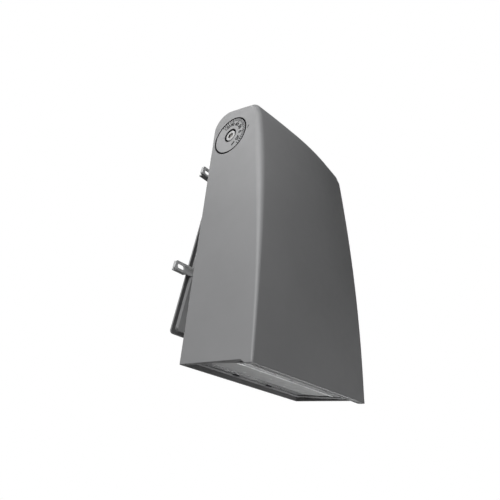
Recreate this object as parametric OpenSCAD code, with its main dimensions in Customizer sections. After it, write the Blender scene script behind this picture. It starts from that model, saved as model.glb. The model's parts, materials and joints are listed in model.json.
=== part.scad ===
// Wall pack light: a wall plate with two arms carries a wedge-shaped lamp head
// that tilts about an axis through a pair of numbered dials.
// World frame: origin on the wall face at the middle of the wall plate,
// +Y into the wall, -Y the front of the light, +Z up.
// Head frame: origin on the tilt axis; the head hangs down from it.

/* [Wall plate] */
// Width of the plate's flange
flange_w = 112.6; // [110:0.1:118]
// Height of the plate's flange
flange_h = 187; // [182:1:190]
// Thickness of the flange
flange_t = 6; // [5:0.5:7]
// Step from the flange to the raised panel
panel_step = 3.5; // [3.5:0.5:4.5]
// Width of the flange rim around the raised panel
rim_w = 4.6; // [4.4:0.1:8]
// Radius of the wire hole
wire_r = 11; // [8:0.5:12]

/* [Mounting straps] */
// Overall length of a strap
strap_len = 151; // [150:1:154]
// Height of a strap
strap_h = 9.2; // [8.5:0.1:9.2]
// Thickness of a strap
strap_t = 3.4; // [2.8:0.1:3.4]
// Height of the upper strap's middle
strap_up_z = 80.8; // [79:0.1:81]
// Height of the lower strap's middle
strap_lo_z = -28.4; // [-31:0.1:-26]
// Width of the slots
slot_w = 4.6; // [4.2:0.1:5.2]
// End-to-end length of the slots
slot_len = 9.5; // [8.5:0.5:9.5]
// Distance from the middle to each slot's middle
slot_x = 67.2; // [67:0.1:67.4]

/* [Pivot] */
// Height of the tilt axis above the plate's middle
axis_z = 112; // [111:0.5:113]
// Distance of the tilt axis from the wall
axis_out = 46; // [46:0.5:48]
// How far the head is swung out in the rest position
rest_tilt = 8; // [2:1:20]
// Radius of the dials
dial_r = 20.45; // [20:0.05:20.9]
// Radius of the round holes that show the dials
dial_hole_r = 22.15; // [21.6:0.05:22.2]
// Radius of the hub spigots
spigot_r = 16.95; // [16.9:0.01:16.96]
// Radius of the bearing bores
bore_r = 17; // [17:0.01:17]
// Radius of the hub shoulders
hub_r = 26; // [25:0.5:27]

/* [Lamp head] */
// Half width of the head at its lower edge
head_hw = 82.5; // [82:0.1:83]
// Drop from the axis to the side walls' lower edge
head_drop = 238.4; // [238:0.1:239]
// Wall thickness
wall = 3.2; // [2.8:0.1:3.6]
// Depth of the front lip below the side walls
lip = 2.7; // [2:0.1:3]
// How far the front bows forward at the middle of its top
bow = 7.3; // [0:0.1:8]

/* [Light source] */
// Number of light chips in a row
led_cols = 12; // [8:1:14]
// Number of rows of chips
led_rows = 3; // [2:1:3]
// Spacing of the lens ribs
rib_pitch = 2.6; // [2.4:0.1:4]
// Lean of the lens, its front edge lower
lens_lean = 3; // [2:0.5:3]

/* [Hidden] */
$fn = 64;
draft = 0.0152;                      // side walls lean in by this much per mm of height
back_lean = 3.342;                   // the back edge leans by this angle
back_y = 12.3;                       // back edge at the lower end
gasket_t = 2;
hollow_h = 38;                       // height of the window in the plate's back
edge_t = 2;                          // thickness of the flange's edge
edge_in = 8;                         // how far the plate's body stands in from it
ear_lip = 1.9;                       // thickness of the lip folded back along each ear
hollow_y = -5;                       // floor of the wiring hollow
wire_z = 24;                         // height of the wire hole
flange_y = -gasket_t - flange_t;     // front face of the flange
panel_y = flange_y - panel_step;     // front face of the raised panel
arm_in = 58;
arm_out = 64;
shoulder = 68.9;                     // outer face of each hub shoulder
cheek_in = 69.9;                     // inner face of each bearing boss
lip_x = 72.5;                        // floor of the dial recess
dial_in = 72.7;
dial_out = 78.7;
cbore_x = 74.3;
head_x0 = 75.1;                      // underside of the lock screw's head
head_x1 = 78.1;

// front curve of the head, as y for a height above the lip
function fy(t) = -69 + 0.0514*t + 0.000294*t*t;
lip_z = -head_drop - lip;
// the front's points on the section that bows by a share e of the full bow
function front(e) = [for (t = [0:13:247]) [fy(t) - e*bow*t/260, lip_z + t]];
// brow over the front: y, z, direction of the bow, share of it
brow_pts = [[-36.3, 13.9, 170, 1], [-34.2, 19.8, 164, 0.9], [-32.3, 24.5, 152, 0.7], [-29.2, 29.2, 130, 0.4], [-24.9, 31.9, 100, 0.1]];
function brow(e) = [for (p = brow_pts) [p[0] + e*bow*p[3]*cos(p[2]), p[1] + e*bow*p[3]*sin(p[2])]];
function arc(cy, cz, r, a0, a1, n) = [for (i = [0:n]) let (a = a0 + (a1 - a0)*i/n) [cy + r*cos(a), cz + r*sin(a)]];
top = arc(8.5, 17.7, 18.8, 97, -3, 10);
step = [[-56.6, -head_drop], [-58.4, -head_drop - 0.4], [-60.6, lip_z + 0.4], [-62.4, lip_z]];
outline = concat(front(0), brow(0), top, [[back_y, -head_drop]], step);

// head frame to world
module head_place() translate([0, -axis_out, axis_z]) rotate([-rest_tilt, 0, 0]) children();
// plate-fixed frame on the tilt axis
module axis_place() translate([0, -axis_out, axis_z]) children();
// frame on the head's leaning back edge, z up along it and y outward
module rear_place() translate([0, back_y, -head_drop]) rotate([-back_lean, 0, 0]) children();
// extrude a (y, z) outline along X from x0 to x1
module along_x(x0, x1) translate([x0, 0, 0]) rotate([90, 0, 90]) linear_extrude(x1 - x0) children();
// cylinder along X from x0 to x1
module cx(r, x0, x1, f = 64) translate([min(x0, x1), 0, 0]) rotate([0, 90, 0]) cylinder(r = r, h = abs(x1 - x0), $fn = f);
// both sides
module both() { children(); mirror([1, 0, 0]) children(); }
// slab with drafted sides, half width w at the lower edge
module slab(w) {
    z0 = -260; z1 = 60;
    a = w - draft*(z0 + head_drop); b = w - draft*(z1 + head_drop);
    translate([0, 90, 0]) rotate([90, 0, 0]) linear_extrude(180) polygon([[-a, z0], [a, z0], [b, z1], [-b, z1]]);
}
function hw(z) = head_hw - draft*(z + head_drop);
// solid head: a skin over sections whose bow fades from the middle to the sides
module head_solid() difference() {
    intersection() {
        hull() for (u = [0, 0.3, 0.55, 0.78, 1], s = u > 0 ? [-1, 1] : [1])
            along_x(s*u*head_hw - 0.01, s*u*head_hw + 0.01)
                polygon(concat(front(1 - u*u), brow(1 - u*u), top, [[back_y, -head_drop], [back_y, lip_z]]));
        slab(head_hw);
    }
    along_x(-100, 100) polygon(concat([[40, -head_drop]], step, [[-62.4, -260], [40, -260]]));
}

// ---------- wall side ----------
module rr(w, h, r) { // rounded rectangle in X and Z
    square([w - 2*r, h], center = true);
    square([w, h - 2*r], center = true);
    for (x = [-1, 1], z = [-1, 1]) translate([x*(w/2 - r), z*(h/2 - r)]) circle(r = r);
}
module xz(y0, y1) translate([0, y1, 0]) rotate([90, 0, 0]) linear_extrude(y1 - y0) children();

// window around the wire hole
module windows() translate([0, wire_z]) square([flange_w - 40, hollow_h], center = true);
module wall_gasket() color([0.09, 0.09, 0.09]) difference() {
    xz(-gasket_t, 0) rr(flange_w - 2*edge_in - 2, flange_h - 2*edge_in - 2, 5);
    xz(-gasket_t - 1, 1) windows();
}

module strap_notch(z, up) {
    // channel across the raised panel
    translate([-60, panel_y - 1, z - strap_h/2 - 0.3]) cube([120, panel_step + 1, strap_h + 0.6 + up]);
    both() translate([32, 0, z]) rotate([90, 0, 0]) cylinder(r = 2.05, h = 14);
}
module wall_plate() color([0.27, 0.27, 0.28]) difference() {
    union() {
        xz(flange_y, flange_y + edge_t) rr(flange_w, flange_h, 4);
        xz(flange_y + edge_t, -gasket_t) rr(flange_w - 2*edge_in, flange_h - 2*edge_in, 4);
        xz(panel_y, flange_y) rr(flange_w - 2*rim_w, flange_h - 2*rim_w, 3);
    }
    // wiring hollow in the back
    xz(hollow_y, 1) windows();
    strap_notch(strap_up_z, 4);
    strap_notch(strap_lo_z, 0);
    // wire hole
    translate([0, 5, wire_z]) rotate([90, 0, 0]) cylinder(r = wire_r, h = 30);
    // tapped holes for the arms' screws
    both() for (z = [46, 62]) translate([44, 0, z]) rotate([90, 0, 0]) cylinder(r = 2.5, h = 14);
    // earth screw hole
    translate([-24, 0, 50]) rotate([90, 0, 0]) cylinder(r = 2.05, h = 14);
}

module strap(z) color([0.72, 0.72, 0.72]) difference() {
    union() {
        xz(flange_y - strap_t, flange_y) translate([0, z]) rr(strap_len, strap_h, 2);
        // lip folded back along the lower edge of each ear
        both() translate([flange_w/2 + 0.5, flange_y - 0.5, z - strap_h/2]) cube([(strap_len - flange_w)/2 - 4, 6, ear_lip]);
    }
    both() translate([slot_x, 0, z]) rotate([90, 0, 0]) {
        translate([-(slot_len - slot_w)/2, 0, 0]) cylinder(r = slot_w/2, h = 20);
        translate([(slot_len - slot_w)/2, 0, 0]) cylinder(r = slot_w/2, h = 20);
        translate([-(slot_len - slot_w)/2, -slot_w/2, 0]) cube([slot_len - slot_w, slot_w, 20]);
    }
    // groove that leads to each slot
    both() translate([46, flange_y - strap_t - 1, z - slot_w/2]) cube([slot_x - slot_len/2 + slot_w/2 - 46, 2.2, slot_w]);
    both() translate([32, 0, z]) rotate([90, 0, 0]) cylinder(r = 2.2, h = 20);
}
module upper_strap() strap(strap_up_z);
module lower_strap() strap(strap_lo_z);

// pan-head screw whose head sits on the plane y = 0 and points to -Y
module screw_y(r, len, hr, hh, s) {
    difference() {
        union() {
            rotate([90, 0, 0]) cylinder(r = hr, h = hh);
            translate([0, len, 0]) rotate([90, 0, 0]) cylinder(r = r, h = len + 0.2);
        }
        translate([0, -hh + hh*0.55, 0]) rotate([90, 0, 0]) cylinder(r = s, h = hh, $fn = 6);
    }
}
module strap_screws() color([0.75, 0.75, 0.74])
    both() for (z = [strap_up_z, strap_lo_z]) translate([32, flange_y - strap_t, z]) screw_y(2, 7.5, 3.6, 2.2, 1.5);

module arm() difference() {
    union() {
        axis_place() along_x(arm_in, arm_out) union() {
            circle(r = hub_r);
            polygon([[-8, -24], [34.5, -52], [34.5, -26], [10, 24]]);
        }
        axis_place() cx(hub_r, arm_in, shoulder);
        axis_place() cx(spigot_r, shoulder - 1, dial_in);
        // foot on the raised panel
        translate([37, panel_y - 4, axis_z - 76]) cube([arm_in - 37 + 1, 4, 50]);
        // stiffening fillet block between web and foot
        translate([arm_in - 3.9, panel_y - 7, axis_z - 76]) cube([4, 4, 50]);
    }
    axis_place() cx(4.2, arm_in - 1, dial_in + 1);
    // weight-saving ring pocket in the hub's back
    axis_place() difference() { cx(20, arm_in - 1, arm_in + 5); cx(9, arm_in - 2, arm_in + 6); }
    for (z = [46, 62]) translate([44, -5, z]) rotate([90, 0, 0]) cylinder(r = 2.7, h = 14);
    // key pin holes in the spigot's face
    axis_place() for (a = [0, 180]) rotate([a, 0, 0]) translate([0, 0, 11.5]) cx(1.5, dial_in - 4, dial_in + 1, 32);
}
module arm_right() color([0.30, 0.30, 0.31]) arm();
module arm_left() color([0.30, 0.30, 0.31]) mirror([1, 0, 0]) arm();
module arm_screws() color([0.75, 0.75, 0.74])
    both() for (z = [46, 62]) translate([44, panel_y - 4, z]) screw_y(2.45, 9, 4.4, 2.8, 1.9);

module thread_inserts() color([0.75, 0.63, 0.35]) both() axis_place() difference() {
    cx(4.2, arm_in + 1, dial_in - 0.3, 48);
    cx(3.05, arm_in, dial_in + 1, 48);
}
module friction_rings() color([0.16, 0.16, 0.17]) both() axis_place() difference() {
    cx(hub_r - 1, shoulder, cheek_in - 0.12);
    cx(spigot_r + 0.3, shoulder - 1, cheek_in + 1);
}
module dial() axis_place() difference() {
    cx(dial_r, dial_in, dial_out);
    cx(7.9, cbore_x, dial_out + 1, 48);
    cx(3.4, dial_in - 1, dial_out, 48);
    for (a = [0, 180]) rotate([a, 0, 0]) translate([0, 0, 11.5]) cx(1.5, dial_in - 1, dial_in + 2.5, 32);
}
module dial_right() color([0.62, 0.62, 0.62]) dial();
module dial_left() color([0.62, 0.62, 0.62]) mirror([1, 0, 0]) dial();
module key_pins() color([0.7, 0.7, 0.7]) both() axis_place()
    for (a = [0, 180]) rotate([a, 0, 0]) translate([0, 0, 11.5]) cx(1.45, dial_in - 3.8, dial_in + 2.3, 32);
module lock_washers() color([0.82, 0.82, 0.82]) both() axis_place() difference() {
    cx(6.3, cbore_x, head_x0, 48);
    cx(3.3, cbore_x - 1, head_x0 + 1, 48);
}
module lock_screw() axis_place() difference() {
    union() {
        cx(6, head_x0, head_x1, 48);
        cx(3, arm_in + 0.5, head_x0 + 1, 48);
    }
    cx(3.5, head_x1 - 1.9, head_x1 + 1, 6);
}
module lock_screw_right() color([0.86, 0.86, 0.86]) lock_screw();
module lock_screw_left() color([0.86, 0.86, 0.86]) mirror([1, 0, 0]) lock_screw();

module wire_grommet() color([0.08, 0.08, 0.08]) translate([0, 0, wire_z]) difference() {
    union() {
        translate([0, hollow_y, 0]) rotate([90, 0, 0]) cylinder(r = wire_r, h = hollow_y - panel_y);
        translate([0, panel_y, 0]) rotate([90, 0, 0]) cylinder(r = wire_r + 2.5, h = 2);
        translate([0, hollow_y + 1.6, 0]) rotate([90, 0, 0]) cylinder(r = wire_r + 2, h = 1.6);
    }
    translate([0, 10, 0]) rotate([90, 0, 0]) cylinder(r = 4.5, h = 30);
}
module earth_screw() color([0.25, 0.55, 0.30]) translate([-24, panel_y, 50]) screw_y(2, 7, 4, 2.4, 1.6);

// ---------- head side ----------
// the hollow inside the front wall, between two heights
module hollow(z0, z1, rear, w) intersection() {
    along_x(-w, w) polygon(concat(
        [for (i = [0:12]) let (z = z0 + (z1 - z0)*i/12) [fy(max(0, z - lip_z)) + wall + 0.5, z]],
        [[rear, z1], [rear, z0]]));
    slab(head_hw - wall);
}
module rear_box(w, z0, z1, y0, y1) rear_place() translate([-w, y0, z0]) cube([2*w, y1 - y0, z1 - z0]);
cover_z0 = 10; cover_z1 = 150;
cover_screws_xz = [for (x = [-1, 1], z = [14.5, 80, 145.5]) [x*70.5, z]];

module housing() color([0.42, 0.42, 0.42]) head_place() difference() {
    union() {
        difference() {
            head_solid();
            // lower chamber, up to the pockets' floor
            difference() { hollow(-222, -90, 30, 90); rear_box(100, -20, 260, -7.5, 60); }
            // upper chamber between the pockets
            difference() { hollow(-92, 12, 30, 50.5); rear_box(100, -20, 300, -4, 60); }
            // rear opening and the rebate for the gasket and cover
            rear_box(66, 18, 142, -9, 10);
            rear_box(74.2, cover_z0 - 0.3, cover_z1 + 0.3, -4.5, 10);
            // light chamber, open downward
            intersection() {
                translate([-100, -62, -260]) cube([200, 71, 39]);
                slab(head_hw - wall - 0.3);
            }
            // pockets for the arms, open to the back and over the top
            both() intersection() {
                along_x(54, 90) polygon(concat(
                    [for (i = [0:8]) let (z = -86 + 98*i/8) [fy(z - lip_z) + wall + 0.5, z]],
                    [[-26, 22], [-14, 26.6], [4, 29.4], [4, 50], [50, 50], [50, -86]]));
                slab(head_hw - wall);
            }
        }
        // bearing bosses
        both() intersection() { cx(30, cheek_in, 76.5); along_x(60, 80) polygon(outline); }
        // posts for the driver tray
        for (x = [-1, 1], z = [-200, -112]) translate([x*60, fy(z - lip_z) + 2, z]) rotate([-90, 0, 0]) cylinder(r = 4, h = -4.4 - fy(z - lip_z) - 2, $fn = 32);
        // ledges for the heat spreader
        both() intersection() { lean_in() translate([70, -60, led_z + 5.6]) cube([20, 66, 8]); slab(head_hw - 1); }
    }
    both() {
        cx(bore_r, cheek_in - 1, 90);
        cx(dial_hole_r, lip_x, 90);
    }
    for (x = [-1, 1], z = [-200, -112]) translate([x*60, -20, z]) rotate([-90, 0, 0]) cylinder(r = 1.55, h = 20, $fn = 24);
    rear_place() for (p = cover_screws_xz) translate([p[0], -12, p[1]]) rotate([-90, 0, 0]) cylinder(r = 1.8, h = 12, $fn = 24);
    both() lean_in() for (y = [-44, -12]) translate([74, y, led_z + 4]) cylinder(r = 1.65, h = 14, $fn = 24);
    both() lean_in() for (y = [-52, -4]) translate([fs_x, y, led_z + 4]) cylinder(r = 1.85, h = 14, $fn = 24);
}

module rear_cover() color([0.33, 0.33, 0.34]) head_place() difference() {
    union() {
        rear_box(74, cover_z0, cover_z1, -3.5, -1);
        rear_box(40, 30, 130, -1, 0.6);
    }
    rear_place() {
        for (p = cover_screws_xz) translate([p[0], -12, p[1]]) rotate([-90, 0, 0]) cylinder(r = 2, h = 20, $fn = 24);
        translate([28, -12, 44]) rotate([-90, 0, 0]) cylinder(r = 6.1, h = 20);
        translate([-28, -12, 44]) rotate([-90, 0, 0]) cylinder(r = 4, h = 20);
    }
}
module cover_gasket() color([0.08, 0.08, 0.08]) head_place() difference() {
    rear_box(74, cover_z0, cover_z1, -4.5, -3.5);
    rear_box(67, 17.5, 142.5, -6, 0);
    rear_place() for (p = cover_screws_xz) translate([p[0], -12, p[1]]) rotate([-90, 0, 0]) cylinder(r = 2, h = 20, $fn = 24);
}
module cover_screws() color([0.75, 0.75, 0.74]) head_place() rear_place()
    for (p = cover_screws_xz) translate([p[0], -1, p[1]]) rotate([180, 0, 0]) screw_y(1.75, 8.5, 3.2, 2, 1.3);
module cable_gland() color([0.10, 0.10, 0.10]) head_place() rear_place() translate([28, 0, 44]) difference() {
    union() {
        translate([0, 0.6, 0]) rotate([-90, 0, 0]) cylinder(r = 10, h = 4, $fn = 6);
        translate([0, -9, 0]) rotate([-90, 0, 0]) cylinder(r = 6, h = 10);
        translate([0, 4.6, 0]) rotate([-90, 0, 0]) cylinder(r = 7.5, h = 4.5);
    }
    translate([0, -12, 0]) rotate([-90, 0, 0]) cylinder(r = 3.6, h = 30);
}
module gland_nut() color([0.12, 0.12, 0.12]) head_place() rear_place() translate([28, -3.6, 44]) difference() {
    rotate([90, 0, 0]) cylinder(r = 9.5, h = 4, $fn = 6);
    translate([0, 1, 0]) rotate([90, 0, 0]) cylinder(r = 6.05, h = 8);
}
module vent_plug() color([0.14, 0.14, 0.14]) head_place() rear_place() translate([-28, 0, 44]) union() {
    translate([0, 0.6, 0]) rotate([-90, 0, 0]) cylinder(r = 6.5, h = 2.6, $fn = 6);
    translate([0, -6, 0]) rotate([-90, 0, 0]) cylinder(r = 3.9, h = 7);
}

// lens frame and what is behind it, leaning about the window's rear edge
module lean_in() translate([0, win_y1, frame_z]) rotate([lens_lean, 0, 0]) translate([0, -win_y1, -frame_z]) children();
module light_place() head_place() lean_in() children();
frame_z = -head_drop + 3.4;          // lower face of the frame
win_y0 = -58.5; win_y1 = 2.5;
win_x = 70.6;                        // half width of the window
fs_x = 75.4;                         // frame screws, from the middle
module lens_frame() color([0.24, 0.24, 0.25]) light_place() difference() {
    intersection() {
        translate([-100, -61.3, frame_z]) cube([200, 70, 4]);
        slab(head_hw - wall - 0.6);
    }
    translate([-win_x, win_y0, frame_z - 1]) cube([2*win_x, win_y1 - win_y0, 8]);
    translate([-win_x - 2, win_y0 - 1.6, frame_z + 1.6]) cube([2*win_x + 4, win_y1 - win_y0 + 3.2, 8]);
    for (x = [-23.4, 23.4]) translate([x - 3.7, win_y1 - 1, frame_z - 1]) cube([7.4, 3.6, 2.5]);
    for (x = [-fs_x, fs_x], y = [-52, -4]) translate([x, y, frame_z - 1]) {
        cylinder(r = 1.9, h = 10, $fn = 24);
        cylinder(r = 2.7, h = 2.6, $fn = 32);
    }
}
module lens() color([0.78, 0.80, 0.80, 0.6]) light_place() union() {
    translate([-win_x - 1.8, win_y0 - 1.4, frame_z + 1.7]) cube([2*win_x + 3.6, win_y1 - win_y0 + 2.8, 2]);
    // ribs along the lower face
    n = floor((win_y1 - win_y0 - 1.4)/rib_pitch);
    y0 = (win_y0 + win_y1)/2 - n*rib_pitch/2;
    along_x(-win_x + 0.3, win_x - 0.3) polygon(concat(
        [[y0, frame_z + 1.9]],
        [for (i = [0:n-1]) each [[y0 + i*rib_pitch + 0.01, frame_z + 1.7], [y0 + (i + 0.5)*rib_pitch, frame_z + 0.5]]],
        [[y0 + n*rib_pitch - 0.01, frame_z + 1.7], [y0 + n*rib_pitch, frame_z + 1.9]]));
}
module lens_gasket() color([0.07, 0.07, 0.07]) light_place() difference() {
    translate([-win_x - 2.6, win_y0 - 2.5, frame_z + 4]) cube([2*win_x + 5.2, win_y1 - win_y0 + 5.2, 1.6]);
    translate([-win_x + 1.6, win_y0 + 2, frame_z + 3]) cube([2*win_x - 3.2, win_y1 - win_y0 - 4, 4]);
}
module lens_clips() color([0.12, 0.12, 0.12]) light_place()
    for (x = [-23.4, 23.4]) translate([x - 3.5, win_y1 - 1.2, frame_z + 0.1]) cube([7, 3.6, 1.4]);
module frame_screws() color([0.35, 0.35, 0.36]) light_place()
    for (x = [-fs_x, fs_x], y = [-52, -4]) translate([x, y, frame_z + 1.6]) difference() {
        union() {
            translate([0, 0, -1.6]) cylinder(r = 2.5, h = 1.6, $fn = 32);
            cylinder(r = 1.8, h = 25.5, $fn = 24);
        }
        translate([0, 0, -2.2]) cylinder(r = 1.4, h = 1.5, $fn = 6);
    }
module reflector() color([0.9, 0.9, 0.9]) light_place() difference() {
    translate([-win_x - 2, win_y0 + 0.2, frame_z + 5.6]) cube([2*win_x + 4, win_y1 - win_y0 - 0.4, 10]);
    hull() {
        translate([-win_x, win_y0 + 1.4, frame_z + 5.5]) cube([2*win_x, win_y1 - win_y0 - 2.8, 0.1]);
        translate([-62, win_y0 + 8, frame_z + 15.7]) cube([124, win_y1 - win_y0 - 16, 0.1]);
    }
}
led_z = frame_z + 15.6;
module led_board() color([0.93, 0.93, 0.90]) light_place() difference() {
    translate([-64, win_y0 + 3, led_z]) cube([128, win_y1 - win_y0 - 6, 1.6]);
    for (x = [-50, 50], y = [-44.3, -21.3]) translate([x, y, led_z - 1]) cylinder(r = 1.7, h = 4, $fn = 24);
}
module led_chips() color([0.95, 0.83, 0.35]) light_place()
    for (i = [0:led_cols-1], j = [0:led_rows-1])
        translate([-55 + 110*i/(led_cols-1) - 1.5, -44.3 + 23*j/max(1, led_rows-1) - 1.5, led_z - 0.7]) cube([3, 3, 0.7]);
module heat_spreader() color([0.70, 0.71, 0.72]) light_place() difference() {
    intersection() { translate([-100, -57.5, led_z + 1.6]) cube([200, 57.5, 4]); slab(head_hw - wall - 0.6); }
    for (x = [-fs_x, fs_x], y = [-52, -4]) translate([x, y, led_z - 2]) cylinder(r = 2.2, h = 12, $fn = 24);
    for (x = [-50, 50], y = [-44.3, -21.3]) translate([x, y, led_z]) cylinder(r = 1.45, h = 8, $fn = 24);
    both() for (y = [-44, -12]) translate([74, y, led_z]) cylinder(r = 1.7, h = 10, $fn = 24);
}
module board_screws() color([0.78, 0.78, 0.78]) light_place()
    for (x = [-50, 50], y = [-44.3, -21.3]) translate([x, y, led_z]) union() {
        translate([0, 0, -1.3]) cylinder(r = 2.6, h = 1.3, $fn = 24);
        cylinder(r = 1.4, h = 5, $fn = 24);
    }
module spreader_screws() color([0.78, 0.78, 0.78]) light_place()
    both() for (y = [-44, -12]) translate([74, y, led_z + 1.6]) union() {
        translate([0, 0, -1.6]) cylinder(r = 3, h = 1.6, $fn = 24);
        cylinder(r = 1.6, h = 8, $fn = 24);
    }
module driver_tray() color([0.74, 0.74, 0.74]) head_place() difference() {
    translate([-66, -4.3, -208]) cube([132, 1.5, 116]);
    for (x = [-60, 60], z = [-200, -112]) translate([x, -10, z]) rotate([-90, 0, 0]) cylinder(r = 1.8, h = 12, $fn = 24);
    for (x = [-44, 44]) translate([x, -10, -156]) rotate([-90, 0, 0]) cylinder(r = 1.8, h = 12, $fn = 24);
}
module tray_screws() color([0.78, 0.78, 0.78]) head_place()
    for (x = [-60, 60], z = [-200, -112]) translate([x, -2.8, z]) union() {
        rotate([-90, 0, 0]) cylinder(r = 3, h = 2, $fn = 24);
        rotate([90, 0, 0]) cylinder(r = 1.5, h = 10, $fn = 24);
    }
module driver() color([0.88, 0.88, 0.86]) head_place() difference() {
    union() {
        translate([-40, -34.3, -200]) cube([80, 30, 88]);
        for (x = [-48, 40]) translate([x, -6.3, -164]) cube([8, 2, 16]);
    }
    for (x = [-44, 44]) translate([x, -10, -156]) rotate([-90, 0, 0]) cylinder(r = 1.6, h = 12, $fn = 24);
}
module driver_screws() color([0.78, 0.78, 0.78]) head_place()
    for (x = [-44, 44]) translate([x, -6.3, -156]) union() {
        rotate([90, 0, 0]) cylinder(r = 2.8, h = 1.6, $fn = 24);
        rotate([-90, 0, 0]) cylinder(r = 1.5, h = 5, $fn = 24);
    }
module terminal_block() color([0.92, 0.92, 0.90]) head_place() difference() {
    translate([-20, -22.3, -109]) cube([40, 18, 15]);
    for (i = [-1:1]) translate([i*12, -13, -110]) cylinder(r = 2.6, h = 18, $fn = 24);
}

wall_gasket();
wall_plate();
upper_strap();
lower_strap();
strap_screws();
arm_left();
arm_right();
arm_screws();
thread_inserts();
friction_rings();
dial_left();
dial_right();
key_pins();
lock_washers();
wire_grommet();
earth_screw();
lock_screw_left();
lock_screw_right();
housing();
rear_cover();
cover_gasket();
cover_screws();
cable_gland();
gland_nut();
vent_plug();
lens_frame();
lens();
lens_gasket();
lens_clips();
frame_screws();
reflector();
led_board();
led_chips();
heat_spreader();
board_screws();
spreader_screws();
driver_tray();
tray_screws();
driver();
driver_screws();
terminal_block();
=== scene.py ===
import json
import math

import bmesh
import bpy
from mathutils import Matrix, Vector

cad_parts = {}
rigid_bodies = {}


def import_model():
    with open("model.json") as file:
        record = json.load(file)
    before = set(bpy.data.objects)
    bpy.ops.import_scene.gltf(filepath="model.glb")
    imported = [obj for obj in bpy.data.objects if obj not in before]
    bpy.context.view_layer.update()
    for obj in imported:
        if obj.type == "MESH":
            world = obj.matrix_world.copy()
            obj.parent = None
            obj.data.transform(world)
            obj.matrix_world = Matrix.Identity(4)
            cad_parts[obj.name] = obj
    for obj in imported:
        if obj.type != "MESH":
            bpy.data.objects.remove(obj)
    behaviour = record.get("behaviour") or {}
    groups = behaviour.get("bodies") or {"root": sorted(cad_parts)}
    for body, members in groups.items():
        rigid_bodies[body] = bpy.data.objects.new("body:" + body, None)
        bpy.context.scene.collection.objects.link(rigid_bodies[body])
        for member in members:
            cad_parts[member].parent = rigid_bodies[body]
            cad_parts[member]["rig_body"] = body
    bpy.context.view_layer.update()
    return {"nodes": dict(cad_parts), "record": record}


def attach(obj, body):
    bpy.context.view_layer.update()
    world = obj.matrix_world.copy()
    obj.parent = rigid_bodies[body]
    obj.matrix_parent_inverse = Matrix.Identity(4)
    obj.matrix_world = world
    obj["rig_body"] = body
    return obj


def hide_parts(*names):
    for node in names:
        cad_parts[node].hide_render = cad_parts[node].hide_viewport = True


# Wall pack light. All lengths below are millimetres until they are written to a mesh.
# World frame: origin on the wall face, +Y into the wall, -Y the light's front, +Z up.
# Head frame: origin on the tilt axis; the head hangs down from it, swung out by 8 degrees.
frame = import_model()
nodes = frame["nodes"]
scene = bpy.context.scene
MM = 0.001
TILT = math.radians(-8.0)
LEAN = math.radians(-3.342)
HEAD = Matrix.Translation((0, -46 * MM, 112 * MM)) @ Matrix.Rotation(TILT, 4, "X")
AXIS = Matrix.Translation((0, -46 * MM, 112 * MM))
LIGHT = HEAD @ Matrix.Translation((0, 2.5 * MM, -235 * MM)) @ Matrix.Rotation(math.radians(3.0), 4, "X") @ Matrix.Translation((0, -2.5 * MM, 0))
REAR = HEAD @ Matrix.Translation((0, 12.3 * MM, -238.4 * MM)) @ Matrix.Rotation(LEAN, 4, "X")


# ---------------------------------------------------------------- mesh helpers
def link(name, me):
    o = bpy.data.objects.new(name, me)
    scene.collection.objects.link(o)
    return o


def raw(name, verts, faces, place=None):
    """A mesh object from millimetre points, placed by a matrix in metres."""
    me = bpy.data.meshes.new(name)
    me.from_pydata([tuple(c * MM for c in v) for v in verts], [], faces)
    if place is not None:
        me.transform(place)
    bm = bmesh.new()
    bm.from_mesh(me)
    bmesh.ops.recalc_face_normals(bm, faces=bm.faces)
    bm.to_mesh(me)
    bm.free()
    me.update()
    return link(name, me)


def drop(o):
    me = o.data
    bpy.data.objects.remove(o)
    if isinstance(me, bpy.types.Mesh) and me.users == 0:
        bpy.data.meshes.remove(me)


def from_node(node, name, flat=0.4):
    """A copy of a CAD node with its seams welded and its flat faces joined up."""
    me = nodes[node].data.copy()
    me.materials.clear()
    bm = bmesh.new()
    bm.from_mesh(me)
    bmesh.ops.remove_doubles(bm, verts=bm.verts, dist=2e-6)
    if flat:
        bmesh.ops.dissolve_limit(bm, angle_limit=math.radians(flat), verts=bm.verts, edges=bm.edges)
    bmesh.ops.recalc_face_normals(bm, faces=bm.faces)
    bm.to_mesh(me)
    bm.free()
    me.name = name
    return link(name, me)


def baked(o):
    """Applies the modifiers of o."""
    bpy.context.view_layer.update()
    dg = bpy.context.evaluated_depsgraph_get()
    me = bpy.data.meshes.new_from_object(o.evaluated_get(dg))
    old = o.data
    o.modifiers.clear()
    o.data = me
    me.name = o.name
    if old.users == 0:
        bpy.data.meshes.remove(old)
    return o


def combine(a, b, how):
    m = a.modifiers.new("b", "BOOLEAN")
    m.solver = "EXACT"
    m.operation = how
    m.object = b
    baked(a)
    drop(b)
    return a


def soften(o, width, segments=2, angle=32):
    """Rounds the sharp edges by a small bevel, in millimetres."""
    m = o.modifiers.new("r", "BEVEL")
    m.width = width * MM
    m.segments = segments
    m.limit_method = "ANGLE"
    m.angle_limit = math.radians(angle)
    m.use_clamp_overlap = False
    m.harden_normals = False
    m.miter_outer = "MITER_ARC" if segments > 1 else "MITER_SHARP"
    return baked(o)


def shade(o, angle=30):
    me = o.data
    me.polygons.foreach_set("use_smooth", [True] * len(me.polygons))
    me.set_sharp_from_angle(angle=math.radians(angle))
    me.update()
    return o


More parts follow.
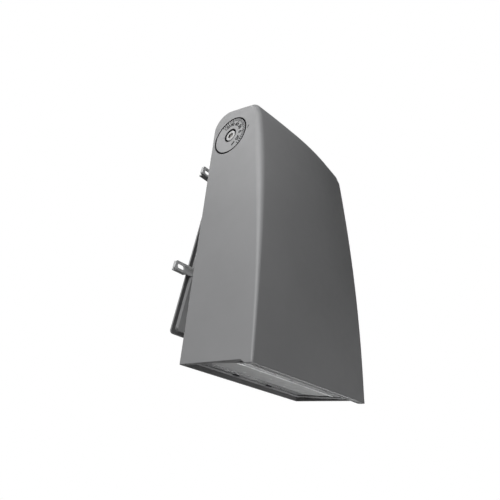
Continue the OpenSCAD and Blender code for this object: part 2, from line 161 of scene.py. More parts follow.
class Build:
    """Collects millimetre points and faces for one piece."""

    def __init__(self):
        self.v, self.f = [], []

    def add(self, verts, faces, place=None):
        n = len(self.v)
        for p in verts:
            q = Vector(p) if place is None else place @ Vector(p)
            self.v.append((q.x, q.y, q.z))
        self.f += [[n + i for i in f] for f in faces]
        return self

    def box(self, lo, hi, place=None):
        (x0, y0, z0), (x1, y1, z1) = lo, hi
        v = [(x0, y0, z0), (x1, y0, z0), (x1, y1, z0), (x0, y1, z0), (x0, y0, z1), (x1, y0, z1), (x1, y1, z1), (x0, y1, z1)]
        return self.add(v, [(0, 3, 2, 1), (4, 5, 6, 7), (0, 1, 5, 4), (1, 2, 6, 5), (2, 3, 7, 6), (3, 0, 4, 7)], place)

    def lathe(self, profile, n=64, place=None, closed=False):
        """Turns (radius, height) points about the z axis. A profile that isn't closed starts and ends on the axis or gets lids."""
        v, f = [], []
        m = len(profile)
        for i in range(n):
            a = 2 * math.pi * i / n
            for r, h in profile:
                v.append((r * math.cos(a), r * math.sin(a), h))
        for i in range(n):
            j = (i + 1) % n
            for k in range(m if closed else m - 1):
                l = (k + 1) % m
                f.append((i * m + k, j * m + k, j * m + l, i * m + l))
        if not closed:
            f.append([i * m for i in range(n)][::-1])
            f.append([i * m + m - 1 for i in range(n)])
        return self.add(v, f, place)

    def prism(self, poly, h0, h1, place=None):
        """Extrudes a plane outline in x, y from height h0 to h1."""
        m = len(poly)
        v = [(x, y, h0) for x, y in poly] + [(x, y, h1) for x, y in poly]
        f = [list(range(m))[::-1], [m + i for i in range(m)]]
        f += [(i, (i + 1) % m, m + (i + 1) % m, m + i) for i in range(m)]
        return self.add(v, f, place)

    def make(self, name, place=None):
        return raw(name, self.v, self.f, place)


def piece(o, body, material, stands_for=(), angle=30):
    o.data.materials.clear()
    o.data.materials.append(material)
    shade(o, angle)
    w = o.modifiers.new("w", "WEIGHTED_NORMAL")
    w.keep_sharp = True
    w.weight = 60
    baked(o)
    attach(o, body)
    if stands_for:
        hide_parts(*stands_for)
    return o


def paint(o, material, test, place=None):
    """Gives a second material, a painted shade or painted light tone, to the faces that pass a test of their middle
    and normal, in millimetres.
    """
    me = o.data
    me.materials.append(material)
    k = len(me.materials) - 1
    inv = place.inverted() if place else Matrix.Identity(4)
    turn = inv.to_3x3()
    for f in me.polygons:
        c, n = inv @ f.center, (turn @ f.normal).normalized()
        if test(c.x / MM, c.y / MM, c.z / MM, n):
            f.material_index = k
    me.update()


def around(y, z):
    return math.hypot(y, z)


# ---------------------------------------------------------------- materials
def surface(name, base, rough, metallic=0.0, spec=0.5, vary=0.05, vary_scale=30.0, rough_vary=0.06, rough_scale=120.0,
            bumps=(), tint=None, speck=None, alpha=None, coat=None, aniso=None, ior=1.5, emit=None, sheen=None, streak=None):
    """A procedural finish: colour and roughness drift over the surface, and bumps is a list of
    (kind, scale per metre, height in mm, strength)."""
    m = bpy.data.materials.new(name)
    m.use_nodes = True
    nt = m.node_tree
    nt.nodes.clear()
    N = nt.nodes.new
    out, bsdf, co = N("ShaderNodeOutputMaterial"), N("ShaderNodeBsdfPrincipled"), N("ShaderNodeTexCoord")
    nt.links.new(bsdf.outputs[0], out.inputs[0])
    pos = co.outputs["Object"]
    if streak:
        mp = N("ShaderNodeMapping")
        mp.inputs["Scale"].default_value = streak
        nt.links.new(pos, mp.inputs["Vector"])
        grain = mp.outputs[0]
    else:
        grain = pos

    def noise(scale, detail=3.0, src=None, rough_=0.55):
        t = N("ShaderNodeTexNoise")
        t.inputs["Scale"].default_value = scale
        t.inputs["Detail"].default_value = detail
        t.inputs["Roughness"].default_value = rough_
        nt.links.new(src or pos, t.inputs["Vector"])
        return t.outputs[0]

    def span(src, a, b, lo=0.3, hi=0.7):
        t = N("ShaderNodeMapRange")
        t.inputs["From Min"].default_value = lo
        t.inputs["From Max"].default_value = hi
        t.inputs["To Min"].default_value = a
        t.inputs["To Max"].default_value = b
        nt.links.new(src, t.inputs["Value"])
        return t.outputs[0]

    def mix(fac, a, b):
        t = N("ShaderNodeMix")
        t.data_type = "RGBA"
        if isinstance(fac, (int, float)):
            t.inputs[0].default_value = fac
        else:
            nt.links.new(fac, t.inputs[0])
        for s, i in ((a, 6), (b, 7)):
            if isinstance(s, tuple):
                t.inputs[i].default_value = (*s, 1)
            else:
                nt.links.new(s, t.inputs[i])
        return t.outputs[2]

    lo = tuple(c * (1 - vary) for c in base)
    hi = tuple(min(1, c * (1 + vary)) for c in base)
    if tint:
        hi = tuple(min(1, c * t) for c, t in zip(hi, tint))
    col = mix(span(noise(vary_scale, 4), 0, 1), lo, hi)
    if speck:
        scale, amount, colour = speck
        col = mix(span(noise(scale, 2), 0, amount, 0.52, 0.75), col, colour)
    nt.links.new(col, bsdf.inputs["Base Color"])
    nt.links.new(span(noise(rough_scale, 4, grain), rough - rough_vary, rough + rough_vary), bsdf.inputs["Roughness"])
    bsdf.inputs["Metallic"].default_value = metallic
    bsdf.inputs["Specular IOR Level"].default_value = spec
    bsdf.inputs["IOR"].default_value = ior
    if alpha is not None:
        bsdf.inputs["Alpha"].default_value = alpha
    if coat:
        bsdf.inputs["Coat Weight"].default_value = coat[0]
        bsdf.inputs["Coat Roughness"].default_value = coat[1]
    if aniso is not None:
        bsdf.inputs["Anisotropic"].default_value = aniso
    if sheen:
        bsdf.inputs["Sheen Weight"].default_value = sheen
        bsdf.inputs["Sheen Roughness"].default_value = 0.5
    if emit:
        bsdf.inputs["Emission Color"].default_value = (*emit[0], 1)
        bsdf.inputs["Emission Strength"].default_value = emit[1]
    last = None
    for kind, scale, height, strength in bumps:
        if kind == "cells":
            t = N("ShaderNodeTexVoronoi")
            t.inputs["Scale"].default_value = scale
            nt.links.new(pos, t.inputs["Vector"])
            h = t.outputs["Distance"]
        elif kind == "grain":
            h = noise(scale, 4, grain)
        else:
            h = noise(scale, 3)
        b = N("ShaderNodeBump")
        b.inputs["Strength"].default_value = strength
        b.inputs["Distance"].default_value = height * MM
        nt.links.new(h, b.inputs["Height"])
        if last:
            nt.links.new(last, b.inputs["Normal"])
        last = b.outputs[0]
    if last:
        nt.links.new(last, bsdf.inputs["Normal"])
    return m


COAT = (("noise", 420, 0.05, 0.30), ("noise", 1900, 0.03, 0.35))
M = {
    "powder_coat": surface("powder_coat", (0.205, 0.206, 0.209), 0.47, spec=0.42, vary=0.035, vary_scale=16, rough_vary=0.04, bumps=COAT,
                           speck=(2600, 0.10, (0.30, 0.30, 0.31))),
    "powder_coat_plate": surface("powder_coat_plate", (0.20, 0.201, 0.204), 0.50, spec=0.42, vary=0.05, vary_scale=22, bumps=COAT,
                                 speck=(2400, 0.10, (0.2, 0.2, 0.2))),
    "zinc_steel": surface("zinc_steel", (0.47, 0.473, 0.475), 0.50, metallic=0.25, vary=0.10, vary_scale=170, rough_vary=0.12, rough_scale=260,
                          bumps=(("cells", 420, 0.02, 0.2), ("noise", 1500, 0.01, 0.25))),
    "stainless": surface("stainless", (0.80, 0.80, 0.80), 0.30, metallic=1.0, vary=0.05, vary_scale=300, rough_vary=0.09, rough_scale=900,
                         aniso=0.35, bumps=(("noise", 2600, 0.006, 0.25),)),
    "dial_paint": surface("dial_paint", (0.230, 0.231, 0.234), 0.44, spec=0.45, vary=0.03, vary_scale=60, rough_vary=0.04,
                          bumps=(("noise", 900, 0.03, 0.25),)),
    "foam": surface("foam", (0.028, 0.028, 0.029), 0.9, spec=0.2, vary=0.25, vary_scale=600, bumps=(("cells", 2200, 0.12, 0.6), ("noise", 900, 0.08, 0.4))),
    "rubber": surface("rubber", (0.022, 0.022, 0.023), 0.7, spec=0.35, vary=0.2, vary_scale=140, bumps=(("noise", 1500, 0.03, 0.35),)),
    "friction_nylon": surface("friction_nylon", (0.05, 0.05, 0.052), 0.55, vary=0.1, vary_scale=120, bumps=(("noise", 1200, 0.02, 0.3),)),
    "brass": surface("brass", (0.72, 0.53, 0.24), 0.32, metallic=1.0, vary=0.08, vary_scale=300, bumps=(("noise", 2400, 0.01, 0.3),)),
    "earth_green": surface("earth_green", (0.05, 0.30, 0.10), 0.35, spec=0.5, vary=0.08, vary_scale=200, bumps=(("noise", 1500, 0.01, 0.3),)),
    "black_plastic": surface("black_plastic", (0.030, 0.030, 0.032), 0.48, spec=0.45, vary=0.12, vary_scale=90, bumps=(("noise", 1800, 0.03, 0.35),)),
    "lens_clear": surface("lens_clear", (0.635, 0.64, 0.64), 0.22, spec=0.6, vary=0.03, vary_scale=40, rough_vary=0.06, alpha=0.80, ior=1.49,
                          bumps=(("noise", 260, 0.02, 0.15),)),
    "dark_screw": surface("dark_screw", (0.16, 0.16, 0.165), 0.36, metallic=1.0, vary=0.1, vary_scale=300, bumps=(("noise", 2200, 0.01, 0.3),)),
    "reflector_white": surface("reflector_white", (0.80, 0.80, 0.79), 0.38, spec=0.45, vary=0.02, vary_scale=60, bumps=(("noise", 500, 0.02, 0.2),)),
    "board_white": surface("board_white", (0.78, 0.78, 0.76), 0.45, spec=0.4, vary=0.03, vary_scale=90, bumps=(("noise", 900, 0.01, 0.2),)),
    "phosphor": surface("phosphor", (0.84, 0.66, 0.18), 0.5, spec=0.4, vary=0.08, vary_scale=900, bumps=(("noise", 3000, 0.01, 0.3),)),
    "bare_aluminium": surface("bare_aluminium", (0.62, 0.625, 0.63), 0.38, metallic=1.0, vary=0.06, vary_scale=120, aniso=0.4, rough_vary=0.1,
                              streak=(1, 30, 30), bumps=(("grain", 60, 0.01, 0.3),)),
    "driver_case": surface("driver_case", (0.72, 0.72, 0.70), 0.42, vary=0.04, vary_scale=40, bumps=(("noise", 700, 0.03, 0.3),)),
    "terminal_white": surface("terminal_white", (0.74, 0.74, 0.71), 0.5, vary=0.04, vary_scale=60, bumps=(("noise", 1200, 0.02, 0.3),)),
}
# Copies of coat, metal and lens below, apart from dial_ink, are painted shade and painted light that paint() gives to
# single faces
SHADOW = surface("shadow_gap", (0.020, 0.020, 0.021), 0.65, spec=0.2, vary=0.15, vary_scale=120, bumps=COAT)
INSIDE_PAINTED_SHADE = surface("powder_coat_inside_painted_shade", (0.16, 0.16, 0.162), 0.6, spec=0.3, vary=0.10, vary_scale=60, bumps=COAT)
PLATE_RIM_PAINTED_SHADE = surface("powder_coat_rim_painted_shade", (0.075, 0.075, 0.076), 0.6, spec=0.3, vary=0.10, vary_scale=60, bumps=COAT)
FAR_WALL_PAINTED_SHADE = surface("powder_coat_recess_painted_shade", (0.17, 0.17, 0.172), 0.7, spec=0.15, vary=0.10, vary_scale=60, bumps=COAT)
FRAME_SIDE_PAINTED_SHADE = surface("powder_coat_frame_side_painted_shade", (0.20, 0.20, 0.202), 0.7, spec=0.15, vary=0.10, vary_scale=60, bumps=COAT)
LIP_PAINTED_LIGHT = surface("powder_coat_lip_painted_light", (0.36, 0.361, 0.364), 0.47, spec=0.42, vary=0.035, vary_scale=40, bumps=COAT)
LIP_GROOVE_PAINTED_SHADE = surface("lip_groove_painted_shade", (0.19, 0.19, 0.192), 0.6, spec=0.3, vary=0.10, vary_scale=60, bumps=COAT)
SOCKET_PAINTED_SHADE = surface("socket_wall_painted_shade", (0.015, 0.015, 0.015), 0.5, spec=0.3, vary=0.15, vary_scale=300, bumps=(("noise", 2400, 0.01, 0.3),))
SOCKET_FLOOR_PAINTED_LIGHT = surface("socket_floor_painted_light", (0.34, 0.33, 0.315), 0.5, spec=0.4, vary=0.15, vary_scale=500, bumps=(("noise", 2400, 0.01, 0.3),))
SCREW_FACE_PAINTED_SHADE = surface("screw_face_painted_shade", (0.31, 0.31, 0.31), 0.42, metallic=1.0, vary=0.05, vary_scale=300, rough_vary=0.09, rough_scale=900,
                     bumps=(("noise", 1800, 0.01, 0.25),))
LENS_RIBS_PAINTED_SHADE = surface("lens_ribs_painted_shade", (0.155, 0.157, 0.16), 0.30, spec=0.5, vary=0.05, vary_scale=60, alpha=0.90, ior=1.49,
                      bumps=(("noise", 300, 0.02, 0.2),))
LENS_FRONT_PAINTED_SHADE = surface("lens_front_ribs_painted_shade", (0.27, 0.273, 0.276), 0.30, spec=0.5, vary=0.05, vary_scale=60, bumps=(("noise", 300, 0.02, 0.2),))
LENS_BEAD_PAINTED_HIGHLIGHT = surface("lens_bead_painted_highlight", (0.66, 0.67, 0.67), 0.25, spec=0.6, vary=0.04, vary_scale=60, bumps=(("noise", 300, 0.02, 0.2),))
DARK_INK = surface("dial_ink", (0.018, 0.018, 0.019), 0.85, spec=0.10, vary=0.2, vary_scale=400, bumps=(("noise", 2500, 0.01, 0.3),))
slot_of = {p["node"]: p["material_slot"] for p in frame["record"]["subparts"]}
body_of_node = {n: o["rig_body"] for n, o in nodes.items()}
for n, o in nodes.items():
    for s in o.material_slots:
        s.material = M[slot_of[n]]


# ---------------------------------------------------------------- the head's outer skin
HW, DROP, DRAFT, LIP_Z = 82.5, 238.4, 0.0152, -241.1
BOW = 7.26
SLIM = 0.06                       # the skin lies this far inside the CAD planes


def front_y(t):
    return -69 + 0.0514 * t + 0.000294 * t * t - 0.59 * (-(t / 260) ** 4)


def half(z):
    return HW - DRAFT * (z + DROP) - SLIM


RADII = ((0, 1.9), (50, 2.7), (100, 4.0), (150, 5.6), (200, 6.7), (230, 6.5), (260, 6.0))


def edge_radius(t):
    """Radius of the rounding between front and side at a height above the lip."""
    for (a, ra), (b, rb) in zip(RADII, RADII[1:]):
        if t <= b:
            return ra + (rb - ra) * (t - a) / (b - a)
    return RADII[-1][1]


def bezier(p0, p1, p2, p3, n):
    out = []
    for i in range(1, n):
        s = i / n
        w = ((1 - s) ** 3, 3 * s * (1 - s) ** 2, 3 * s * s * (1 - s), s ** 3)
        out.append(tuple(sum(k * p[j] for k, p in zip(w, (p0, p1, p2, p3))) for j in (0, 1)))
    return out


def skin_outline():
    """Points (y, z) round the head's side with, for each, its edge radius and its forward bow."""
    P = []
    steps = 65
    for i in range(steps):
        t = 260 * i / steps
        P.append((front_y(t), LIP_Z + SLIM + t, edge_radius(t), BOW * t / 260))
    P[0] = (P[0][0] + 0.9, P[0][1], 1.0, 0)          # small round at the lip's front
    P.insert(1, (P[0][0] - 0.72, P[0][1] + 0.30, 1.3, 0))
    P.insert(2, (P[0][0] - 0.88, P[0][1] + 1.0, 1.5, 0))
    a, b = (-33.63, 19.81), (-24.94, 31.91)
    P.append((*a, 5.8, BOW))
    pts = bezier(a, (a[0] + 0.99, a[1] + 4.87), (b[0] - 5.08, b[1] - 0.83), b, 12)
    for i, p in enumerate(pts):
        s = (i + 1) / 12
        P.append((*p, 5.8 + 0.4 * s, BOW * (1 - s) ** 0.97))
    P.append((*b, 6.2, 0))
    cy, cz, R = 8.46, 17.71, 18.77 - SLIM
    c = (cy + R * math.cos(math.radians(97)), cz + R * math.sin(math.radians(97)))
    for i in range(1, 6):
        s = i / 6
        P.append((b[0] + (c[0] - b[0]) * s, b[1] + (c[1] - b[1]) * s, 4.6 + 1.6 * (1 - s) ** 2 - 3.0 * s, 0))
    for i in range(25):
        w = math.radians(97 - 100.0 * i / 24)
        P.append((cy + R * math.cos(w), cz + R * math.sin(w), 1.6 - 0.3 * i / 24, 0))
    y0, z0 = P[-1][0], P[-1][1]
    y1, z1 = 12.3 - SLIM, -DROP + SLIM
    for i in range(1, 16):
        s = i / 16
        P.append((y0 + (y1 - y0) * s, z0 + (z1 - z0) * s, 1.3, 0))
    P += [(y1, z1 + 1.2, 1.2, 0), (y1 - 0.22, z1 + 0.38, 1.0, 0), (y1 - 0.85, z1, 0.8, 0)]
    for i in range(1, 7):
        P.append((y1 - 0.85 + (-56.4 - y1 + 0.85) * i / 7, z1, 0.8, 0))
    for i in range(13):
        s = i / 12
        P.append((-56.4 - 6.0 * s, z1 - (z1 - (LIP_Z + SLIM)) * (0.5 - 0.5 * math.cos(math.pi * s)), 0.8, 0))
    P += [(-64.3, LIP_Z + SLIM, 0.8, 0), (-66.2, LIP_Z + SLIM, 0.9, 0)]
    return P


def skin():
    P = skin_outline()
    m = len(P)
    normals = []
    for i in range(m):
        (ya, za), (yb, zb) = P[i - 1][:2], P[(i + 1) % m][:2]
        l = math.hypot(yb - ya, zb - za)
        normals.append((-(zb - za) / l, (yb - ya) / l))
    arc_steps, flat_steps = 7, 15
    rows = []
    stations = [("arc", math.pi / 2 * (1 - i / arc_steps)) for i in range(arc_steps)] + [("flat", i / flat_steps) for i in range(flat_steps + 1)]
    sides = [(-1, s) for s in stations] + [(1, s) for s in stations[::-1][1:]]
    verts = []
    for sgn, (kind, a) in sides:
        for i, (y, z, R, bow) in enumerate(P):
            ny, nz = normals[i]
            for _ in range(3):       # the half width belongs to the height after the inset
                if kind == "arc":
                    inset = R * (1 - math.cos(a))
                else:
                    inset = 0
                zz = z - nz * inset
                w = half(zz)
                x = w - R + R * math.sin(a) if kind == "arc" else (w - R) * (1 - a)
            e = bow * (1 - (x / w) ** 2) - inset
            verts.append((sgn * x, y + ny * e, z + nz * e))
    faces = []
    n = len(sides)
    for k in range(n - 1):
        for i in range(m):
            j = (i + 1) % m
            faces.append((k * m + i, k * m + j, (k + 1) * m + j, (k + 1) * m + i))
    faces.append(list(range(m)))
    faces.append([(n - 1) * m + i for i in range(m)][::-1])
    return verts, faces, P, normals


verts, faces, P, normals = skin()
shell = raw("housing_skin", verts, faces, HEAD)
# A front layer fills the bow; the skin trims it.
pick = [i for i in range(2, len(P)) if P[i][1] > -238 and P[i][0] < 2.5 and i < 95]
inner = [(P[i][0] - normals[i][0] * 1.5, P[i][1] - normals[i][1] * 1.5) for i in pick]
outer = [(P[i][0] + normals[i][0] * 13, P[i][1] + normals[i][1] * 13) for i in pick]
inner = [(-67.5, -247)] + inner
outer = [(-84, -247)] + outer
ring = inner + outer[::-1]
fill = Build()
fill.v = [(-95, y, z) for y, z in ring] + [(95, y, z) for y, z in ring]
k = len(ring)
fill.f = [list(range(k)), [k + i for i in range(k)][::-1]] + [(i, (i + 1) % k, k + (i + 1) % k, k + i) for i in range(k)]
layer = fill.make("front_layer", HEAD)
housing = from_node("housing", "housing_body", flat=0)
combine(housing, layer, "UNION")
combine(housing, shell, "INTERSECT")

# index marks beside the dials, fine grooves along the lip, and a chamfer round each dial hole
def index_frame(sgn):
    return Matrix.Translation((0, -24.9, 0.3)) @ Matrix.Rotation(math.radians(-58.0), 4, "X")


cut = Build()
for sgn in (-1, 1):
    cut.box((min(sgn * 78.45, sgn * 90), -2.1, -0.45), (max(sgn * 78.45, sgn * 90), 2.1, 0.45), index_frame(sgn))
for y in (-67.35, -65.75, -64.15):
    cut.box((-78.2, y - 0.38, -246), (78.2, y + 0.38, -240.35))
marks = cut.make("index_cut", HEAD)
combine(housing, marks, "DIFFERENCE")
bev = Build()
for s in (-1, 1):
    turn = Matrix.Rotation(s * math.pi / 2, 4, "Y")
    bev.lathe([(21.5, 77.97), (24, 80.47), (24, 84), (21.5, 84)], 96, turn, closed=True)
rim = bev.make("rim_cut", HEAD)
combine(housing, rim, "DIFFERENCE")
piece(housing, "head", M["powder_coat"], ["housing"], angle=24)


def in_index(x, y, z, n):
    v = index_frame(1).inverted() @ Vector((0, y, z))
    return 78.3 < abs(x) < 78.75 and abs(v.y) < 2.2 and abs(v.z) < 0.55


paint(housing, SHADOW, lambda x, y, z, n: (72.3 < abs(x) < 78.62 and 20.5 < around(y, z) < 22.3 and abs(n.x) < 0.3)
      or (abs(abs(x) - 72.5) < 0.1 and around(y, z) < 22.3) or in_index(x, y, z, n), HEAD)
# painted shade: the inside of the skirt, the chamber walls and the lower faces get a darker copy of the coat
paint(housing, INSIDE_PAINTED_SHADE, lambda x, y, z, n: (z < -219 and y > -61.9 and (abs(x) < 79.6 or z < -237.9) and n.z < 0.5
                                          and (abs(x) < 80 and y < 9.6 or n.z < -0.6)), HEAD)
# painted light: the lip's underside gets a lighter copy of the coat than the rest of the head
paint(housing, LIP_PAINTED_LIGHT, lambda x, y, z, n: z < -240.6 and n.z < -0.6 and -80.0 < x < 70.0, HEAD)
# painted shade: the far side wall in the recess and the far lower faces get a darker, matte copy of the coat
paint(housing, FAR_WALL_PAINTED_SHADE, lambda x, y, z, n: (z < -219 and y > -61.9 and 77 < abs(x) < 83 and (n.x * x < -50 or n.z < -0.8))
      or (z < -239.6 and n.z < -0.15 and x >= 74.0), HEAD)
# painted shade: the grooves along the lip get a darker copy of the coat
paint(housing, LIP_GROOVE_PAINTED_SHADE, lambda x, y, z, n: -240.95 < z < -240.2 and -68 < y < -63.5 and abs(x) < 78.4, HEAD)


# ---------------------------------------------------------------- softened CAD pieces
def softened(node, width, segments=2, flat=0.4, angle=32, sharp=32):
    o = from_node(node, node + "_piece", flat)
    soften(o, width, segments, angle)
    return piece(o, body_of_node[node], M[slot_of[node]], [node], angle=sharp)


plate = softened("wall_plate", 0.6, 3)
# painted shade: the plate's front rim behind the head gets a much darker copy of the coat, for the head's shadow
paint(plate, PLATE_RIM_PAINTED_SHADE, lambda x, y, z, n: n.y < -0.75 and -8.7 < y < -7.3)
softened("upper_strap", 0.45, 3)
softened("lower_strap", 0.45, 3)
softened("arm_left", 0.5, 2)
softened("arm_right", 0.5, 2)
for side in ("left", "right"):
    o = softened("dial_" + side, 0.3, 2)
    paint(o, SHADOW, lambda x, y, z, n: (around(y, z) > 20.1 and abs(x) < 78.55) or (around(y, z) < 8.2 and abs(x) < 78.5), AXIS)
    o = softened("lock_screw_" + side, 0.28, 2)
    # painted shade: the screw's outer face gets a darker copy of its metal, toning down its reflection
    paint(o, SCREW_FACE_PAINTED_SHADE, lambda x, y, z, n: abs(x) > 77.6 and abs(n.x) > 0.5, AXIS)
    # painted shade: the walls of the hex socket are near black
    paint(o, SOCKET_PAINTED_SHADE, lambda x, y, z, n: around(y, z) < 3.6 and 76 < abs(x) < 78 and abs(n.x) < 0.6, AXIS)
    # painted light: the socket's floor and one of its walls get a light grey, as if lit inside the recess
    paint(o, SOCKET_FLOOR_PAINTED_LIGHT, lambda x, y, z, n: around(y, z) < 3.4 and 76 < abs(x) < 78 and (
        (abs(x) < 76.6 and abs(n.x) > 0.9) or (abs(n.x) < 0.6 and n.y < -0.4 and n.z < -0.4)), AXIS)
softened("lock_washers", 0.14, 2)
o = softened("lens_frame", 0.4, 2, flat=0)
# painted shade: the frame's inner sides at its ends get their own matte copy of the coat, toned to the shade there
paint(o, FRAME_SIDE_PAINTED_SHADE, lambda x, y, z, n: abs(x) > 69.5 and n.z < 0.5, LIGHT)
softened("rear_cover", 0.35, 2)


# ---------------------------------------------------------------- lens with its ribs, bead and bands
def lens_profile():
    """Lower outline (y, z) from front to back in the light frame, z from the frame's lower face, with a zone each."""
    pts = [(-59.8, 1.75, 0), (-58.2, 1.75, 0)]
    y = -58.2
    for i in range(8):                       # rounded ribs behind the lip
        for k in range(1, 9):
            a = math.pi * k / 8
            pts.append((y + 0.85 * (1 - math.cos(a)), 1.75 - 1.15 * math.sin(a), 0))
        y += 1.70
        pts.append((y + 0.25, 1.75, 0))
        y += 0.25
    y = -41.0
    for k in range(0, 11):                   # bead
        a = math.pi * k / 10
        pts.append((y + 0.9 * (1 - math.cos(a)), 1.75 - 1.22 * math.sin(a), 3))
    for k in range(0, 13):                   # clear band, slightly domed
        q = k / 12
        pts.append((-39.0 + 32.5 * q, 1.72 - 0.55 * math.sin(math.pi * q), 1))
    y = -6.5
    while y < 1.6:                           # fine ribs at the back
        pts.append((y, 1.72, 2))
        for k in range(1, 5):
            a = math.pi * k / 5
            pts.append((y + 0.65 * (1 - math.cos(a)), 1.72 - 0.6 * math.sin(a), 2))
        y += 1.55
    pts.append((y, 1.75, 2))
    pts.append((3.8, 1.75, 2))
    return pts


LP = lens_profile()
b = Build()
xs = [-70.2 + 140.4 * i / 40 for i in range(41)]
m = len(LP)
b.v = [(x, y, z) for x in xs for y, z, _ in LP]
zones = []
for i in range(len(xs) - 1):
    for k in range(m - 1):
        b.f.append((i * m + k, i * m + k + 1, (i + 1) * m + k + 1, (i + 1) * m + k))
        zones.append(LP[k + 1][2])
n0 = len(b.v)
top = [(x, y, 3.65) for x in (-72.3, 72.3) for y in (-59.8, 3.8)] + [(x, y, 1.75) for x in (-72.3, 72.3) for y in (-59.8, 3.8)]
b.v += top
b.f.append((n0, n0 + 1, n0 + 3, n0 + 2))
b.f += [(n0 + 4, n0 + 5, n0 + 1, n0), (n0 + 6, n0 + 7, n0 + 3, n0 + 2), (n0 + 4, n0, n0 + 2, n0 + 6), (n0 + 5, n0 + 7, n0 + 3, n0 + 1)]
b.f.append([n0 + 4, n0 + 5] + [k for k in range(m)][::-1])
b.f.append([n0 + 6, n0 + 7] + [(len(xs) - 1) * m + k for k in range(m)][::-1])
lens = b.make("lens_piece", LIGHT)
piece(lens, "head", M["lens_clear"], ["lens"], angle=50)
# painted shade: the rear fine ribs get a dark grey copy of the lens
paint(lens, LENS_RIBS_PAINTED_SHADE, lambda x, y, z, n: z < 1.9 and y > -6.5 and n.z < 0.3, LIGHT)
# painted shade: the front ribs behind the lip get a grey copy of the lens, lighter than the rear ribs
paint(lens, LENS_FRONT_PAINTED_SHADE, lambda x, y, z, n: z < 1.9 and y < -41.0 and n.z < 0.3, LIGHT)
# painted highlight: the bead's lower faces get a bright opaque copy of the lens
paint(lens, LENS_BEAD_PAINTED_HIGHLIGHT, lambda x, y, z, n: z < 1.74 and -41.0 < y < -39.1 and n.z < 0.3, LIGHT)

# bead along the frame's rear rim, broken at the clips
b = Build()
for x0, x1 in ((-76, -29), (-16.5, 16.5), (29, 76)):
    ring = [(3.7 + 0.55 * math.cos(a), 0.2 - 0.5 * math.sin(a)) for a in [math.pi * k / 8 for k in range(9)]] + [(3.15, 0.6), (4.25, 0.6)]
    m = len(ring)
    v = [(x0, y, z) for y, z in ring] + [(x1, y, z) for y, z in ring]
    b.add(v, [list(range(m)), [m + i for i in range(m)][::-1]] + [(i, (i + 1) % m, m + (i + 1) % m, m + i) for i in range(m)])
piece(b.make("frame_bead", LIGHT), "head", M["powder_coat"], angle=40)


# ---------------------------------------------------------------- dial numbers and ticks
def letters(text, size, depth):
    """Mesh data of a number, in millimetres, centred on the origin and facing +z."""
    cu = bpy.data.curves.new("number", "FONT")
    cu.body = text
    cu.size = size
    cu.align_x = "CENTER"
    cu.align_y = "CENTER"
    cu.resolution_u = 4
    cu.extrude = depth / 2
    cu.offset = 0.22
    o = bpy.data.objects.new("number", cu)
    scene.collection.objects.link(o)
    bpy.context.view_layer.update()
    me = bpy.data.meshes.new_from_object(o.evaluated_get(bpy.context.evaluated_depsgraph_get()))
    bm = bmesh.new()
    bm.from_mesh(me)
    bmesh.ops.remove_doubles(bm, verts=bm.verts, dist=1e-5)
    bm.verts.ensure_lookup_table()
    v = [tuple(p.co) for p in bm.verts]
    f = [[q.index for q in p.verts] for p in bm.faces]
    bm.free()
    bpy.data.meshes.remove(me)
    bpy.data.objects.remove(o)
    bpy.data.curves.remove(cu)
    return v, f


DIAL_FACE = 78.7
for side, s in (("left", -1), ("right", 1)):
    # viewer's axes on that side: right, up, outward
    right = Vector((0, -1, 0)) if s < 0 else Vector((0, 1, 0))
    face = Matrix((
        (right.x, 0, s, s * DIAL_FACE),
        (right.y, 0, 0, 0),
        (right.z, 1, 0, 0),
        (0, 0, 0, 1)))
    b = Build()

    def polar(deg):
        """Angle in the viewer's frame of a scale angle, which is counted up from the front."""
        return math.radians(deg if s < 0 else 180 - deg)

    for value, deg in (("30", -27), ("0", 3), ("30", 33), ("60", 63), ("90", 93), ("120", 123)):
        a = polar(deg)
        v, f = letters(value, 5.4, 0.12)
        b.add(v, f, face @ Matrix.Translation((13.6 * math.cos(a), 13.6 * math.sin(a), 0.02)) @ Matrix.Rotation(a - math.pi / 2, 4, "Z"))
    for i in range(25):
        a = polar(-42 + 7.5 * i)
        reach, w = (16.4, 0.62) if i % 4 == 2 else (17.2, 0.5)
        b.box((reach, -w, -0.04), (20.05, w, 0.08), face @ Matrix.Rotation(a, 4, "Z"))
    k = 1 if s < 0 else -1
    b.box((-2.5, -0.95, -0.04), (2.5, 0.95, 0.08), face @ Matrix.Translation((k * 7.7, -11.9, 0)) @ Matrix.Rotation(k * math.radians(52.8), 4, "Z"))
    piece(b.make("dial_marks_" + side, AXIS), "wall_mount", DARK_INK, angle=40)


# ---------------------------------------------------------------- stage, light and camera
def floor():
    me = bpy.data.meshes.new("floor")
    r, z = 6.0, -0.45
    me.from_pydata([(-r, -r, z), (r, -r, z), (r, r, z), (-r, r, z)], [], [(0, 1, 2, 3)])
    o = link("floor", me)
    m = bpy.data.materials.new("floor_paper")
    m.use_nodes = True
    nt = m.node_tree
    nt.nodes.clear()
    out = nt.nodes.new("ShaderNodeOutputMaterial")
    mixer = nt.nodes.new("ShaderNodeMixShader")
    lp = nt.nodes.new("ShaderNodeLightPath")
    dif = nt.nodes.new("ShaderNodeBsdfDiffuse")
    em = nt.nodes.new("ShaderNodeEmission")
    dif.inputs[0].default_value = (0.06, 0.06, 0.06, 1)
    em.inputs[0].default_value = (1, 1, 1, 1)
    em.inputs[1].default_value = 1.0
    nt.links.new(lp.outputs["Is Camera Ray"], mixer.inputs[0])
    nt.links.new(dif.outputs[0], mixer.inputs[1])
    nt.links.new(em.outputs[0], mixer.inputs[2])
    nt.links.new(mixer.outputs[0], out.inputs[0])
    me.materials.append(m)


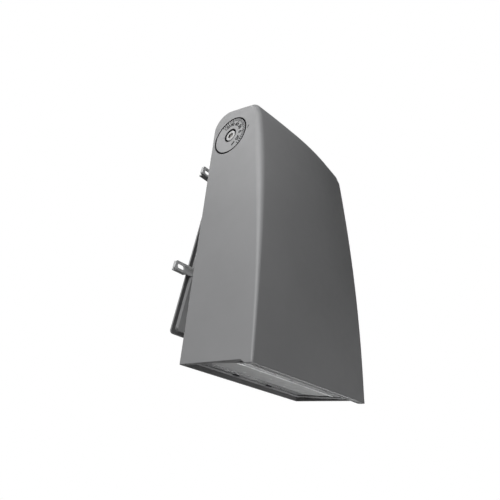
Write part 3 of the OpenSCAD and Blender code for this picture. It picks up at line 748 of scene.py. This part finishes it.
floor()
world = bpy.data.worlds.new("studio")
scene.world = world
world.use_nodes = True
nt = world.node_tree
nt.nodes.clear()
out = nt.nodes.new("ShaderNodeOutputWorld")
seen, lit = nt.nodes.new("ShaderNodeBackground"), nt.nodes.new("ShaderNodeBackground")
seen.inputs[0].default_value = (1, 1, 1, 1)
seen.inputs[1].default_value = 1.0
lit.inputs[0].default_value = (1, 1, 1, 1)
lit.inputs[1].default_value = 0.012
mixer, lp = nt.nodes.new("ShaderNodeMixShader"), nt.nodes.new("ShaderNodeLightPath")
nt.links.new(lp.outputs["Is Camera Ray"], mixer.inputs[0])
nt.links.new(lit.outputs[0], mixer.inputs[1])
nt.links.new(seen.outputs[0], mixer.inputs[2])
nt.links.new(mixer.outputs[0], out.inputs[0])
scene.view_settings.view_transform = "Standard"
scene.view_settings.look = "None"


def area(name, place, aim, w, h, power, colour=(1, 1, 1)):
    li = bpy.data.lights.new(name, "AREA")
    li.shape = "RECTANGLE"
    li.size, li.size_y = w, h
    li.energy = power
    li.color = colour
    o = bpy.data.objects.new(name, li)
    scene.collection.objects.link(o)
    o.location = place
    o.rotation_mode = "QUATERNION"
    o.rotation_quaternion = (Vector(aim) - Vector(place)).to_track_quat("-Z", "Y")
    o.visible_camera = False
    return o


# a ring of soft boxes 1.5 m from the light: angle from the front towards the left, height angle, watts
AIM = Vector((0, -0.07, 0.0))
for name, az, el, watts in (("side_low", 75, 8, 13.5), ("side_high", 75, 45, 13.4), ("rear_high", 135, 45, 7.6),
                            ("front_high", 45, 45, 2.9), ("front_low", 45, 8, 1.25), ("right_low", -75, 8, 0.62),
                            ("fill_back", -166, 24, 10.0), ("fill_right", -118, 22, 9.0)):
    a, e = math.radians(az), math.radians(el)
    area(name, AIM + Vector((-math.sin(a) * math.cos(e), -math.cos(a) * math.cos(e), math.sin(e))) * 1.5, AIM, 0.8, 0.8, watts)

area("under", (0.19, -0.235, -0.44), (0.05, -0.08, -0.13), 0.4, 0.10, 1.75)

# camera fitted to the photograph in the head's frame, then carried to the world's
yaw, pitch, roll = math.radians(45.74), math.radians(25.53), math.radians(7.22)
fwd = Vector((math.sin(yaw) * math.cos(pitch), math.cos(yaw) * math.cos(pitch), math.sin(pitch)))
right0 = Vector((math.cos(yaw), -math.sin(yaw), 0))
up0 = right0.cross(fwd)
right = math.cos(roll) * right0 + math.sin(roll) * up0
up = -math.sin(roll) * right0 + math.cos(roll) * up0
pose = Matrix((
    (right.x, up.x, -fwd.x, -333.3 * MM),
    (right.y, up.y, -fwd.y, -297.5 * MM),
    (right.z, up.z, -fwd.z, -314.3 * MM),
    (0, 0, 0, 1)))
cam = bpy.data.cameras.new("camera")
cam.sensor_fit = "HORIZONTAL"
cam.sensor_width = 36.0
cam.lens = 469.2 / 500 * 36.0
cam.clip_start, cam.clip_end = 0.01, 50
cam_o = bpy.data.objects.new("camera", cam)
scene.collection.objects.link(cam_o)
cam_o.matrix_world = HEAD @ pose
scene.camera = cam_o

bpy.context.view_layer.update()
